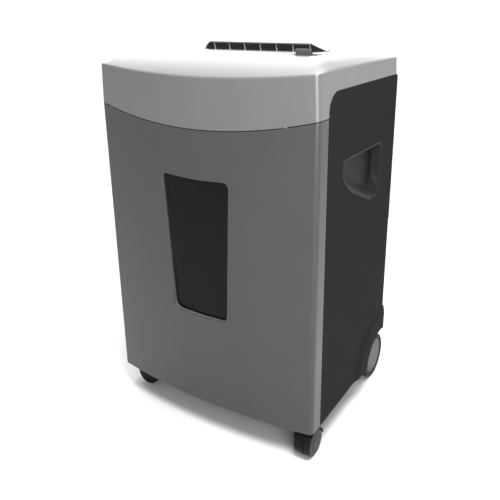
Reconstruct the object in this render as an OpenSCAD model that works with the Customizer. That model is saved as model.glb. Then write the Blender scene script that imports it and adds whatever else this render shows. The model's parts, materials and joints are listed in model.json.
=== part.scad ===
// Paper shredder on wheels: a cabinet with a pull-out waste bin, a head with the feed throat,
// a two-shaft cross cutter driven through a three-stage gear train, two twin-wheel casters
// in front and two large wheels at the rear. Front is -Y, the floor is Z = 0.

/* [Cabinet] */
// Width of the cabinet over the side panels
body_w = 380; // [370:1:400]
// Depth from the front corners to the rear face
body_d = 287; // [284:1:300]
// How far the front bows forward of the corners
front_bow = 17; // [10:1:22]
// Gap between the floor and the cabinet's lower edge
ground_gap = 47; // [47:1:47]
// Height of the side panels' top edge
panel_top = 554.4; // [548:0.2:558]
// Wall thickness of the shells
wall = 3; // [2.5:0.5:3.5]
// Radius of the front vertical corners
corner_r = 8; // [6:1:10]
// Radius of the rear vertical corners
rear_corner_r = 9; // [7:1:10]
// Width of the front's wrap on the sides
wrap_w = 27; // [24:1:30]
// Seam between neighbouring shells
seam = 0.8; // [0.5:0.1:1.2]

/* [Head] */
// Height of the ridge, the highest line of the head shell
ridge_h = 596; // [592:1:600]
// Distance from the front corners back to the ridge
ridge_back = 62; // [55:1:70]
// Fall from the ridge to the front corners
front_fall = 16; // [12:1:18]
// Fall from the ridge to the rear edge
rear_fall = 8; // [6:1:10]
// Height of the parting line at the front corners
parting_h = 522; // [518:1:526]
// Dip of the parting line at the middle
parting_dip = 24; // [18:1:28]
// Width of the sloping shoulders along the sides
shoulder_w = 15; // [12:1:18]
// Draft angle of the head's sides and rear
draft = 2.4; // [1.5:0.1:3]

/* [Feed throat] */
// Clear width of the feed throat
throat_w = 226; // [222:1:230]
// Front lip of the throat, behind the cabinet's middle
throat_front = 1.5; // [1:0.5:2.5]
// Rear wall of the throat at its mouth, behind the cabinet's middle
throat_back = 28; // [27:0.5:28.5]
// Width of the throat above the cutters
throat_exit = 7; // [6:0.5:8]
// Distance of the nip between the cutters behind the cabinet's middle
nip_y = 12; // [12:1:12]
// Height of the hood's rim above the floor
hood_h = 606.5; // [604:0.5:608]
// Number of ribs in the throat
rib_count = 7; // [3:2:7]
// Spacing of the ribs
rib_pitch = 29.7; // [20:0.1:29.7]
// Half-width of the hood's rim
hood_top = 94; // [88:1:96]

/* [Drawer and bin] */
// Half-width of the window at its top
window_top = 59; // [54:1:62]
// Half-width of the window at its bottom
window_bottom = 50; // [46:1:54]
// Height of the window's top edge
window_high = 427; // [420:1:432]
// Height of the window's bottom edge
window_low = 205; // [198:1:212]
// Width of the waste bin
bin_w = 312; // [300:1:312]
// Height of the waste bin's rim
bin_top = 440; // [430:1:444]

/* [Cutter] */
// Distance between the two cutter shafts
shaft_gap = 30; // [30:1:30]
// Height of the cutter shafts
cutter_h = 530; // [528:1:530]
// Number of discs on each shaft
disc_count = 25; // [21:1:25]
// Spacing of the discs on a shaft
disc_pitch = 9; // [9:1:9]
// Outer radius of a disc
disc_r = 20; // [18:0.5:20]

/* [Wheels] */
// Radius of the rear tyres
tyre_r = 41; // [41:1:41]
// Width of the rear tyres
tyre_w = 22; // [20:1:22]
// Distance from the rear face forward to the rear axle
axle_in = 24; // [24:1:24]
// Radius of the front caster wheels
caster_r = 22.5; // [22:0.5:22.5]
// Half the spacing of the front casters
caster_x = 174.5; // [168:0.5:174.5]
// Distance of the caster's axle from its swivel axis
caster_trail = 17; // [16:1:18]

/* [Hidden] */

$fn = 64;
big = 800;
half_w = body_w / 2;
front_y = -body_d / 2;
rear_y = body_d / 2;
wrap_y = front_y + wrap_w;
ridge_y = front_y + ridge_back;

// Bow of the front: one arc through both corners
bow_r = (half_w * half_w + front_bow * front_bow) / (2 * front_bow);
bow_y0 = front_y - front_bow + bow_r;
bow_steps = 32;
corner_steps = 6;

// Head
shoulder_h = 15.3;
shoulder_base = ridge_h - shoulder_h;
shoulder_in = 2.5;
shoulder_power = 1.5;
draft_lean = tan(draft);
rear_edge_r = 6;

// Cutter and gear train, seen along X as [y, z]
front_axis = [nip_y - shaft_gap / 2, cutter_h];
rear_axis = [nip_y + shaft_gap / 2, cutter_h];
plate_t = 3;
plate_x = disc_count * disc_pitch / 2 + 3.5;
journal_r = 6;
core_r = 7;
collar_r = 9.4;
disc_w = 4.2;
disc_gap = 0.15;
run_gap = 0.05;
sync_teeth = 24;
sync_module = shaft_gap / sync_teeth;
drive_teeth = 45;
second_pinion_teeth = 14;
drive_module = 1.5;
second_teeth = 48;
first_pinion_teeth = 14;
second_module = 1.25;
first_teeth = 56;
motor_teeth = 12;
first_module = 1;
second_dir = 25;
first_dir = -40;
motor_dir = -85;
second_axis = rear_axis + drive_module * (drive_teeth + second_pinion_teeth) / 2 * dir(second_dir);
first_axis = second_axis + second_module * (second_teeth + first_pinion_teeth) / 2 * dir(first_dir);
motor_axis = first_axis + first_module * (first_teeth + motor_teeth) / 2 * dir(motor_dir);
second_phase = mesh_phase(second_dir, 0, drive_teeth, second_pinion_teeth);
first_phase = mesh_phase(first_dir, 0, second_teeth, first_pinion_teeth);
motor_phase = mesh_phase(motor_dir, 0, first_teeth, motor_teeth);
sync_w = 10;
sync_x = -plate_x - plate_t - sync_w - 2;
layer_one = plate_x + plate_t + 2;
layer_one_w = 10;
layer_two = layer_one + layer_one_w + 2;
layer_two_w = 7;
layer_three = layer_two + layer_two_w + 2;
layer_three_w = 6;
cover_x = layer_three + layer_three_w + 3;
idler_pin_r = 4;
motor_shaft_r = 4;
motor_r = 33;
motor_len = 150;

// Levels inside the cabinet
deck_z = 452;
deck_t = 3;
tray_t = 3;
tray_half = 186.5;
tray_back = 139.9;
bin_floor = 55;
bin_front = -134;
bin_back = 128;
bin_wall = 2.5;

// Rear panel screws
screw_x = 166;
lower_screws = [150, 285];
upper_screws = [315, 420, 540];
screw_r = 1.7;
screw_head_r = 3.4;

// Cord inlet
cord_x = -135;
cord_z = 350;
cord_r = 4.2;
inlet_r = 9;

// Rear wheels
axle_y = rear_y - axle_in;
axle_z = tyre_r;
axle_r = 5;
tyre_face = 185;
hub_r = 32;
arch_r = 56;
arch_top = 94.5;
fender_out = 4;
fender_at = [112, 42];
well_x = 159;
well_y = 59;
well_top = 99;
well_wall = 2.5;

// Front casters
caster_y = -109.6;
caster_axle_y = caster_y - caster_trail;
caster_wheel_w = 11.5;
caster_web = 5;
caster_turn = 90;
stem_r = 5;
socket_r = 8;
socket_flange_r = 9.3;

// Slide switch, indicator lens and door switch
lens_at = [148, 104];
lens_w = 40;
lens_d = 8;
switch_y = -58.5;
switch_x = 127;
recess_tip = 22;
recess_flat = 17;
recess_half = 16.5;
stem_low = 582;
stem_gap = 0.4;
switch_stem_r = 2.8;
switch_travel = 9;
knob_x = 113;
knob_w = 19.5;
knob_front = -67;
knob_back = -46.5;
knob_top = 604.4;
plunger_x = 160;
plunger_z = 470;

function dir(a) = [cos(a), sin(a)];
function unit(v) = v / norm(v);

// Arc that rounds the corner p between its neighbours a and b with radius r
function corner_arc(a, p, b, r, steps = 6) =
  let (u = unit(a - p), v = unit(b - p), half = acos(u * v) / 2)
  let (c = p + unit(u + v) * r / sin(half), s = p + u * r / tan(half), e = p + v * r / tan(half))
  let (a1 = atan2(s.y - c.y, s.x - c.x), turn = atan2(e.y - c.y, e.x - c.x) - a1)
  let (sweep = turn > 180 ? turn - 360 : (turn < -180 ? turn + 360 : turn))
  [for (i = [0 : steps]) c + r * dir(a1 + sweep * i / steps)];

// Outline through points [x, y, radius] with every corner rounded
function rounded(pts) = [
  for (i = [0 : len(pts) - 1])
    let (a = pts[(i + len(pts) - 1) % len(pts)], p = pts[i], b = pts[(i + 1) % len(pts)])
    each (p.z > 0 ? corner_arc([a.x, a.y], [p.x, p.y], [b.x, b.y], p.z) : [[p.x, p.y]])];

// Rectangle with rounded corners, centred on c
function rounded_box(c, w, h, r) = rounded([
  [c.x - w / 2, c.y - h / 2, r], [c.x + w / 2, c.y - h / 2, r],
  [c.x + w / 2, c.y + h / 2, r], [c.x - w / 2, c.y + h / 2, r]]);

// Front surface of the cabinet, set in by i
function bow_y(x, i = 0) = bow_y0 - sqrt(pow(bow_r - i, 2) - x * x);

// Plan outline of the cabinet, set in by i
function plan(i = 0) =
  let (r = max(corner_r - i, 0.5), cx = half_w - i - r)
  let (cy = bow_y0 - sqrt(pow(bow_r - i - r, 2) - cx * cx), a0 = atan2(cy - bow_y0, cx))
  let (xt = cx + r * cos(a0), rr = max(rear_corner_r - i, 0.5))
  let (rx = half_w - i - rr, ry = rear_y - i - rr)
  concat(
    [for (k = [0 : bow_steps]) let (x = -xt + 2 * xt * k / bow_steps) [x, bow_y(x, i)]],
    [for (k = [1 : corner_steps]) [cx, cy] + r * dir(a0 * (1 - k / corner_steps))],
    [for (k = [0 : corner_steps]) [rx, ry] + rr * dir(90 * k / corner_steps)],
    [for (k = [0 : corner_steps]) [-rx, ry] + rr * dir(90 + 90 * k / corner_steps)],
    [for (k = [0 : corner_steps - 1]) [-cx, cy] + r * dir(180 + (-a0) * k / corner_steps)]);

// Height of the head shell above a point at depth y
function top_z(y) = y < ridge_y
  ? ridge_h - front_fall * pow((ridge_y - y) / ridge_back, 2)
  : ridge_h - rear_fall * pow((y - ridge_y) / (rear_y - ridge_y), 2);

// Parting line between head and drawer front
function parting_z(x) = parting_h - parting_dip * (1 - pow(x / half_w, 2));

// Window outline in X and Z, set in by i
function window_pts(i = 0) = rounded([
  [-(window_bottom - i), window_low + i, max(12 - i, 1)],
  [0, window_low + i - 2.5, 300],
  [window_bottom - i, window_low + i, max(12 - i, 1)],
  [window_top - i, window_high - i, max(9 - i, 1)],
  [0, window_high - i - 3, 300],
  [-(window_top - i), window_high - i, max(4 - i, 1)]]);

// Finger opening in the side panels, in Y and Z, set in by i
function handle_pts(i = 0) = rounded([
  [-68.5 + i, 454.5 - i, 11 - i / 2], [77.5 - i, 454.5 - i, 11 - i / 2],
  [77.5 - i, 370.5 + i, 22 - i / 2], [40, 370.5 + i, 26], [-40 + i / 2, 404.5 + i, 70],
  [-68.5 + i, 430 + i / 3, 16]]);
// Floor of the finger pocket, a smaller outline of the same kind
handle_floor = rounded([[-48, 450, 9], [71, 450, 8], [71, 391, 12], [38, 391.8, 20],
  [-5, 410, 36], [-36, 438, 9]]);

// Side outline of the region covered by the side panels, in Y and Z, set in by i
function panel_pts(i, low) = rounded([
  [wrap_y + i, low, 0], [wrap_y + i, panel_top - i, 30],
  [rear_y + 40, panel_top - i, 0], [rear_y + 40, low, 0]]);

// Base tray in plan, set in by i
function tray_pts(i = 0) = [
  [-183 + i, -136 + i], [183 - i, -136 + i], [183 - i, -117 + i], [tray_half - i, -117 + i],
  [tray_half - i, well_y - i], [well_x - i, well_y - i], [well_x - i, tray_back - i],
  [-well_x + i, tray_back - i], [-well_x + i, well_y - i], [-tray_half + i, well_y - i],
  [-tray_half + i, -117 + i], [-183 + i, -117 + i]];

// Involute gear: angle of the flank at radius q, from the pitch point
function inv(a) = tan(a) * 180 / PI - a;
function flank(q, base) = q <= base ? 0 : inv(acos(base / q));
function tooth_half(q, m, teeth, base) =
  90 / teeth - 180 * 0.06 * m / (PI * m * teeth / 2) + inv(20) - flank(q, base);
// Phase of a gear that meshes with another whose phase is known, across the direction theta
function mesh_phase(theta, phase, teeth, mate_teeth) =
  theta + 180 - (0.5 - (theta - phase) * teeth / 360) * 360 / mate_teeth;

// Lay a Y-Z outline out along X from x0 to x1
module along_x(x0, x1) {
  translate([x0, 0, 0]) rotate([90, 0, 90]) linear_extrude(x1 - x0) children();
}

// Lay an X-Z outline out along Y from y0 to y1
module along_y(y0, y1) {
  translate([0, y1, 0]) rotate([90, 0, 0]) linear_extrude(y1 - y0) children();
}

module slab(lo, hi) {
  translate(lo) cube(hi - lo);
}

module rod_x(x0, x1, at, r) {
  translate([x0, at.x, at.y]) rotate([0, 90, 0]) cylinder(h = x1 - x0, r = r);
}

module rod_y(y0, y1, x, z, r) {
  translate([x, y1, z]) rotate([90, 0, 0]) cylinder(h = y1 - y0, r = r);
}

module both_sides() {
  children();
  mirror([1, 0, 0]) children();
}

module gear_2d(m, teeth) {
  pitch = m * teeth / 2;
  base = pitch * cos(20);
  root = pitch - 1.2 * m;
  tip = pitch + 0.85 * m;
  qs = [root, max(root + 0.1, base), (pitch + max(root, base)) / 2, (pitch + tip) / 2, tip];
  polygon([for (t = [0 : teeth - 1], s = [-1, 1], k = [0 : 4])
    let (q = qs[s < 0 ? k : 4 - k]) q * dir(360 * t / teeth + s * tooth_half(q, m, teeth, base))]);
}

module gear(m, teeth, at, x0, width, phase) {
  along_x(x0, x0 + width) translate(at) rotate(phase) gear_2d(m, teeth);
}

// ---- Head ----

module head_solid(i) {
  shoulder_c = half_w - shoulder_in - shoulder_w - i;
  shoulder = [for (k = [0 : 8]) let (s = 1 - k / 8) [shoulder_c + shoulder_w * s,
    shoulder_base - i + shoulder_h * (1 - pow(s, shoulder_power))]];
  low = 400;
  foot = half_w - i + (parting_h - low) * draft_lean;
  rear_top = [rear_y - i - (top_z(rear_y) - parting_h) * draft_lean, top_z(rear_y) - i];
  rear_c = rear_top - [rear_edge_r, rear_edge_r];
  intersection() {
    translate([0, 0, low]) linear_extrude(250) polygon(plan(i));
    along_x(-big / 2, big / 2) polygon(concat(
      [[front_y - 40, low]],
      [for (k = [0 : 16]) let (y = front_y - 30 + (ridge_back + 30) * k / 16) [y, top_z(y) - i]],
      [for (k = [1 : 12]) let (y = ridge_y + (rear_c.x - ridge_y) * k / 12) [y, top_z(y) - i]],
      [for (k = [0 : 5]) rear_c + rear_edge_r * dir(85 - 85 * k / 5)],
      [[rear_y - i + (parting_h - low) * draft_lean, low]]));
    along_y(-big / 2, big / 2) polygon(concat(
      [[foot, low]], shoulder,
      [for (k = [8 : -1 : 0]) [-shoulder[k].x, shoulder[k].y]], [[-foot, low]]));
  }
}

module below_parting() {
  along_y(-big / 4, wrap_y + 40) polygon(concat(
    [[big / 4, 390], [big / 4, parting_h]],
    [for (k = [16 : -1 : -16]) let (x = half_w * k / 16) [x, parting_z(x)]],
    [[-big / 4, parting_h], [-big / 4, 390]]));
}

// Everything above the parting line
module above_parting() {
  along_y(-big / 4, wrap_y + 40) polygon(concat(
    [[-big / 4, 620], [-big / 4, parting_h]],
    [for (k = [-16 : 16]) let (x = half_w * k / 16) [x, parting_z(x)]],
    [[big / 4, parting_h], [big / 4, 620]]));
}

// Recess of the slide switch: a rounded box whose ends come to a soft point
module switch_opening(i) {
  half = recess_half - i;
  tip = recess_tip - i;
  flat = recess_flat - i / 2;
  polygon(rounded([[switch_x - tip, switch_y, 6], [switch_x - flat, switch_y - half, 4],
    [switch_x + flat, switch_y - half, 4], [switch_x + tip, switch_y, 6],
    [switch_x + flat, switch_y + half, 4], [switch_x - flat, switch_y + half, 4]]));
}

module top_cover() {
  color([0.78, 0.78, 0.79]) difference() {
    head_solid(0);
    head_solid(wall);
    along_x(-big / 2, big / 2) polygon(panel_pts(0, 380));
    below_parting();
    slab([-throat_w / 2, throat_front, 560], [throat_w / 2, throat_back + 4, 620]);
    translate([0, 0, 560]) linear_extrude(60) switch_opening(0);
    translate([0, 0, 560]) linear_extrude(60)
      polygon(rounded_box(lens_at, lens_w + 0.4, lens_d + 0.4, 4));
  }
}

module throat_liner() {
  top = 590.8;
  low = 555;
  front_low = nip_y - throat_exit / 2;
  back_low = nip_y + throat_exit / 2;
  rim = 2;
  plate = throat_w / 2 - 1.7;
  color([0.2, 0.2, 0.21]) union() {
    difference() {
      along_x(-throat_w / 2 - rim, throat_w / 2 + rim) polygon([
        [throat_front - rim, top], [front_low - rim, low],
        [back_low + rim, low], [throat_back + rim, top]]);
      along_x(-throat_w / 2, throat_w / 2) polygon([
        [throat_front, top + 5], [throat_front, top], [front_low, low], [front_low, low - 5],
        [back_low, low - 5], [back_low, low], [throat_back, top], [throat_back, top + 5]]);
    }
    intersection() {
      along_x(-plate, plate) polygon([
        [throat_back - 1, top - 4], [throat_back - 0.3, top + 3], [throat_back - 4.2, hood_h - 2.6],
        [throat_back - 2.4, hood_h - 2.6], [throat_back + 1.6, top + 2], [throat_back + 1.6, top - 4]]);
      along_y(0, 60) polygon([[-plate, top - 10], [-plate, top + 2], [-hood_top + 1.6, hood_h - 2.4],
        [hood_top - 1.6, hood_h - 2.4], [plate, top + 2], [plate, top - 10]]);
    }
  }
}

module throat_hood() {
  lip = throat_back - 10;
  foot = throat_back + 18;
  foot_z = top_z(throat_back + 2) + 0.35;
  color([0.78, 0.78, 0.79]) difference() {
    intersection() {
      along_x(-118, 118) polygon(concat(
        [[foot, top_z(foot) + 0.05]],
        [for (k = [0 : 6]) [throat_back - 4, hood_h - 7] + [12 * cos(25 + 65 * k / 6),
          7 * sin(25 + 65 * k / 6)]],
        [[lip + 0.7, hood_h], [lip, hood_h - 0.6], [lip, hood_h - 2.2], [throat_back + 1.9, foot_z]]));
      along_y(0, 60) polygon([[-114.4, 590], [-113, 595.2], [-hood_top - 1.4, hood_h - 1.2],
        [-hood_top, hood_h + 0.2], [hood_top, hood_h + 0.2], [hood_top + 1.4, hood_h - 1.2],
        [113, 595.2], [114.4, 590]]);
    }
    intersection() {
      along_x(-118, 118) polygon([[lip - 3, 590], [lip - 3, hood_h - 2.3],
        [throat_back - 2.1, hood_h - 2.3], [throat_back + 2, 592.9], [throat_back + 2, 590]]);
      along_y(-20, 60) polygon([[-112.8, 589], [-111.4, 593.2], [-hood_top + 1.4, hood_h - 2.2],
        [hood_top - 1.4, hood_h - 2.2], [111.4, 593.2], [112.8, 589]]);
    }
  }
}

module guide_ribs() {
  rib_t = 1.4;
  color([0.7, 0.7, 0.71]) for (k = [0 : rib_count - 1]) {
    x = (k - (rib_count - 1) / 2) * rib_pitch;
    along_x(x - rib_t / 2, x + rib_t / 2) translate([throat_back, 0]) polygon([
      [-5.7, hood_h - 2.9], [-4.4, hood_h - 2.9], [-0.7, 594.5], [-1.4, 587], [-3.5, 581],
      [-5, 581], [-2.4, 592.5]]);
  }
}

module switch_bezel() {
  floor_z = 590;
  stem_x = knob_x + knob_w / 2;
  color([0.16, 0.16, 0.17]) difference() {
    translate([0, 0, 588]) linear_extrude(7.4) switch_opening(0.15);
    translate([0, 0, floor_z]) linear_extrude(10) switch_opening(1.6);
    slab([stem_x - switch_stem_r - stem_gap, switch_y - switch_stem_r - stem_gap, 580],
      [stem_x + switch_travel + switch_stem_r + stem_gap, switch_y + switch_stem_r + stem_gap, 600]);
  }
}

module switch_knob() {
  base = 590.4;
  steps = 6;
  fall = knob_top - base - 3;
  color([0.36, 0.36, 0.37]) union() {
    along_x(knob_x, knob_x + knob_w) polygon(concat(
      [[knob_front, base], [knob_front + 0.6, knob_top - 1], [knob_front + 1.8, knob_top]],
      [for (k = [1 : steps]) let (y = knob_front + 1.8 + (knob_back - knob_front - 1.8) * k / steps)
        [y, knob_top - fall * pow(k / steps, 1.2)]],
      [[knob_back, base]]));
    translate([knob_x + knob_w / 2, switch_y, stem_low])
      cylinder(h = base - stem_low + 1, r = switch_stem_r);
  }
}

module indicator_lens() {
  color([0.25, 0.26, 0.28]) translate([0, 0, 589])
    linear_extrude(top_z(lens_at.y) + 0.5 - 589) polygon(rounded_box(lens_at, lens_w, lens_d, 3.8));
}

module head_deck() {
  deck_half = 186;
  deck_back = 140;
  chamfer = 4.5;
  color([0.42, 0.43, 0.45]) difference() {
    slab([-deck_half, -108, deck_z], [deck_half, deck_back, deck_z + deck_t]);
    slab([-113, nip_y - 44, deck_z - 5], [113, nip_y + 44, deck_z + 10]);
    both_sides() slab([168, -78, deck_z - 5], [200, 86, deck_z + 10]);
    both_sides() slab([deck_half - chamfer, deck_back - chamfer, deck_z - 5],
      [deck_half + 1, deck_back + 1, deck_z + 10]);
  }
}

module front_rail() {
  color([0.42, 0.43, 0.45]) difference() {
    union() {
      slab([-186, -113, deck_z], [186, -110.5, 496]);
      slab([-186, -113, deck_z], [186, -108.2, deck_z + deck_t]);
    }
    rod_y(-130, -100, plunger_x, plunger_z, 3.4);
  }
}

// ---- Cabinet ----

// Swelling of the side panel around the rear wheel
module fender() {
  intersection() {
    translate([half_w - 0.5, fender_at.x, fender_at.y]) rotate([0, 90, 0])
      cylinder(h = fender_out + 0.5, r1 = 100, r2 = 83);
    translate([0, 0, ground_gap]) linear_extrude(200) translate([fender_out, 0]) polygon(plan(0));
  }
}

module side_panel() {
  flange_low = ground_gap + 33;
  color([0.19, 0.19, 0.2]) difference() {
    union() {
      intersection() {
        translate([0, 0, ground_gap]) linear_extrude(panel_top - ground_gap) difference() {
          polygon(plan(0));
          polygon(plan(wall));
        }
        along_x(-big / 2, big / 2) polygon(panel_pts(seam, ground_gap - 10));
        slab([175, front_y, 0], [half_w + 1, rear_y + 1, panel_top]);
      }
      slab([179, wrap_y + seam, flange_low], [half_w - 1, wrap_y + seam + 2.5, 500]);
      fender();
    }
    rod_x(150, 220, [axle_y, axle_z], arch_r);
    slab([150, axle_y - 16, 0], [220, 200, arch_top]);
    along_x(150, 220) polygon(handle_pts(0));
  }
}

module side_panel_right() side_panel();
module side_panel_left() mirror([1, 0, 0]) side_panel();

module handle_cup() {
  depth = 13;
  lip = 0.8;
  skin = 1.8;
  mouth = half_w + lip;
  middle = [10, 420];
  color([0.13, 0.13, 0.14]) difference() {
    union() {
      along_x(half_w + 0.05, mouth) polygon(handle_pts(-2));
      hull() {
        along_x(half_w - 3.2, half_w + 0.2) polygon(handle_pts(0.25));
        along_x(half_w - depth - skin, half_w - depth - skin + 0.1)
          polygon([for (p = handle_floor) middle + 1.02 * (p - middle)]);
      }
    }
    hull() {
      along_x(half_w - 0.5, mouth + 0.5) polygon(handle_pts(1.6));
      along_x(half_w - depth, half_w - depth + 0.1)
        polygon([for (p = handle_floor) middle + 0.98 * (p - middle)]);
    }
  }
}

module handle_cup_right() handle_cup();
module handle_cup_left() mirror([1, 0, 0]) handle_cup();

module rear_panel_lower() {
  top = 300.5;
  notch = well_top + 0.5;
  color([0.17, 0.17, 0.18]) difference() {
    along_y(rear_y - wall, rear_y) polygon([[-162.5, ground_gap], [162.5, ground_gap],
      [162.5, notch], [174.6, notch], [174.6, top], [-174.6, top], [-174.6, notch],
      [-162.5, notch]]);
    for (x = [-screw_x, screw_x], z = lower_screws) rod_y(100, 200, x, z, screw_r + 0.1);
  }
}

module rear_panel_upper() {
  low = 301.5;
  rows = 8;
  slot_w = 52;
  slot_h = 4.4;
  color([0.17, 0.17, 0.18]) difference() {
    union() {
      along_y(rear_y + 0.1, rear_y + 1.7) polygon(rounded_box([0, (low + panel_top - 1) / 2],
        body_w - 5, panel_top - 1 - low, 5));
      slab([-174.4, rear_y - 2, low], [174.4, rear_y + 0.5, panel_top - 1]);
    }
    for (k = [0 : rows - 1], x = [-70, 0, 70]) {
      z = 480 + (k - (rows - 1) / 2) * 11;
      slab([x - slot_w / 2, 100, z - slot_h / 2], [x + slot_w / 2, 200, z + slot_h / 2]);
      for (s = [-1, 1]) rod_y(100, 200, x + s * slot_w / 2, z, slot_h / 2);
    }
    for (x = [-screw_x, screw_x], z = upper_screws) rod_y(100, 200, x, z, screw_r + 0.1);
    rod_y(100, 200, cord_x, cord_z, inlet_r + 0.05);
  }
}

module rear_screws() {
  shank = 8;
  head = 1.8;
  color([0.62, 0.62, 0.64]) {
    for (x = [-screw_x, screw_x], z = lower_screws) {
      rod_y(rear_y - shank, rear_y + 0.02, x, z, screw_r);
      rod_y(rear_y + 0.01, rear_y + head, x, z, screw_head_r);
    }
    for (x = [-screw_x, screw_x], z = upper_screws) {
      rod_y(rear_y - shank, rear_y + 1.72, x, z, screw_r);
      rod_y(rear_y + 1.71, rear_y + 1.7 + head, x, z, screw_head_r);
    }
  }
}

module cord_grommet() {
  flange_r = 12;
  color([0.1, 0.1, 0.1]) difference() {
    union() {
      rod_y(rear_y - 5, rear_y + 6, cord_x, cord_z, inlet_r);
      rod_y(rear_y + 1.75, rear_y + 4.2, cord_x, cord_z, flange_r);
      rod_y(rear_y - 5, rear_y - 2.1, cord_x, cord_z, flange_r);
    }
    rod_y(100, 200, cord_x, cord_z, cord_r);
  }
}

module base_tray() {
  rim = 2.5;
  rim_h = 7;
  chamfer = 4;
  in_x = well_x - well_wall;
  in_y = well_y - well_wall;
  color([0.15, 0.15, 0.16]) difference() {
    union() {
      translate([0, 0, ground_gap]) linear_extrude(tray_t) polygon(tray_pts(0));
      translate([0, 0, ground_gap]) linear_extrude(rim_h) difference() {
        polygon(tray_pts(0));
        polygon(tray_pts(rim));
      }
      both_sides() {
        slab([in_x, in_y, ground_gap], [well_x, tray_back, well_top]);
        slab([in_x, in_y, ground_gap], [tray_half, well_y, well_top]);
        slab([in_x, in_y, well_top - well_wall], [tray_half, tray_back, well_top]);
      }
    }
    both_sides() translate([caster_x, caster_y, 0]) cylinder(h = 100, r = socket_r + 0.02);
    both_sides() translate([caster_x, caster_y, ground_gap + tray_t])
      cylinder(h = 50, r = socket_flange_r + 0.02);
    both_sides() slab([tray_half - chamfer, tray_back - chamfer, 0], [half_w, rear_y, 100]);
  }
}

module bin_rails() {
  color([0.55, 0.56, 0.58]) both_sides() {
    slab([157, -96, ground_gap + tray_t + 0.02], [158.8, 52, 68]);
    slab([157, -96, ground_gap + tray_t + 0.02], [163, 52, ground_gap + tray_t + 1.6]);
  }
}

// ---- Drawer ----

module drawer_front() {
  collar = 2.4;
  collar_back = -149;
  color([0.56, 0.56, 0.57]) difference() {
    union() {
      intersection() {
        translate([0, 0, ground_gap]) linear_extrude(500) difference() {
          polygon(plan(0));
          polygon(plan(wall));
        }
        slab([-200, -200, 0], [200, wrap_y - 0.2, 560]);
      }
      intersection() {
        translate([0, 0, ground_gap]) linear_extrude(400) polygon(plan(0.5));
        along_y(-200, collar_back) polygon(window_pts(-collar));
      }
      intersection() {
        translate([0, 0, ground_gap]) linear_extrude(400) polygon(plan(1));
        union() {
          for (x = [-115, 115], z = [95, 415]) rod_y(-200, bin_front, x, z, 6);
          slab([plunger_x - 3, -200, plunger_z - 6], [plunger_x + 3, -118.6, plunger_z + 6]);
        }
      }
    }
    translate([0, 0, -seam]) above_parting();
    along_y(-200, -100) polygon(window_pts(0));
  }
}

module window_pane() {
  color([0.16, 0.17, 0.18, 0.5]) intersection() {
    along_y(-170, -140) polygon(window_pts(0.15));
    along_x(-70, 70) polygon([[-159, 440], [-154, 190], [-152, 190], [-157, 440]]);
  }
}

module window_frame() {
  color([0.1, 0.1, 0.1]) intersection() {
    difference() {
      along_y(-170, -149) polygon(window_pts(0.15));
      along_y(-200, -100) polygon(window_pts(3));
    }
    along_x(-70, 70) polygon([[-156.98, 440], [-151.98, 190], [-149.5, 190], [-149.5, 440]]);
  }
}

module waste_bin() {
  lip = 5;
  half = bin_w / 2;
  color([0.24, 0.24, 0.25]) difference() {
    union() {
      slab([-half, bin_front, bin_floor], [half, bin_back, bin_top]);
      slab([-half - 0.6, bin_front, bin_top - 4], [half + 0.6, bin_back + 2, bin_top]);
    }
    slab([-half + bin_wall, bin_front + bin_wall, bin_floor + bin_wall],
      [half - bin_wall, bin_back - bin_wall, bin_top + 5]);
    along_y(-150, -120) polygon(window_pts(-5));
  }
}

// ---- Cutter and drive ----

module cutter_side_plates() {
  bush_r = 9;
  foot = deck_z + deck_t + 0.02;
  color([0.6, 0.61, 0.63]) {
    difference() {
      along_x(-plate_x - plate_t, -plate_x) polygon(rounded([[nip_y - 53, foot, 2], [nip_y + 51, foot, 2],
        [nip_y + 51, 560, 8], [nip_y - 53, 560, 8]]));
      rod_x(-130, -100, front_axis, bush_r + 0.02);
      rod_x(-130, -100, rear_axis, bush_r + 0.02);
    }
    difference() {
      along_x(plate_x, plate_x + plate_t) polygon(rounded([[nip_y - 53, foot, 2], [134, foot, 2],
        [134, 560, 8], [100, 583, 8], [nip_y - 53, 583, 8]]));
      rod_x(100, 130, front_axis, bush_r + 0.02);
      rod_x(100, 130, rear_axis, bush_r + 0.02);
      rod_x(100, 130, second_axis, idler_pin_r + 0.02);
      rod_x(100, 130, first_axis, idler_pin_r + 0.02);
      rod_x(100, 130, motor_axis, motor_shaft_r + 1);
    }
  }
}

module tie_rods() {
  color([0.66, 0.67, 0.69]) for (y = [nip_y - 37, nip_y + 37], z = [506, 553])
    rod_x(-plate_x + 0.02, plate_x - 0.02, [y, z], 5);
}

module cutter_bushes() {
  color([0.72, 0.55, 0.28]) for (at = [front_axis, rear_axis], s = [-1, 1])
    difference() {
      union() {
        rod_x(s * (plate_x + plate_t / 2) - plate_t / 2, s * (plate_x + plate_t / 2) + plate_t / 2, at, 9);
        rod_x(s > 0 ? plate_x - 1.5 : -plate_x, s > 0 ? plate_x : -plate_x + 1.5, at, 11);
      }
      rod_x(-200, 200, at, journal_r + run_gap);
    }
}

module comb(at, side, slot) {
  bar_in = side * 21;
  bar_out = side * 29;
  finger_w = 3.9;
  finger_h = 7;
  bar = [min(bar_in, bar_out), max(bar_in, bar_out)];
  finger = [min(side, bar_in), max(side, bar_in)];
  difference() {
    union() {
      slab([-plate_x + 0.05, at.x + bar[0], at.y - 8], [plate_x - 0.05, at.x + bar[1], at.y + 8]);
      for (k = [0 : disc_count - 1]) {
        x = (k - disc_count / 2) * disc_pitch + slot;
        slab([x - finger_w / 2, at.x + finger[0] - 0.5, at.y - finger_h],
          [x + finger_w / 2, at.x + finger[1] + 0.5, at.y + finger_h]);
      }
    }
    rod_x(-plate_x - 1, plate_x + 1, at, collar_r + 0.6);
  }
}

module stripper_combs() {
  color([0.12, 0.12, 0.13]) {
    comb(front_axis, -1, 6.75);
    comb(rear_axis, 1, 2.25);
  }
}

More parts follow.
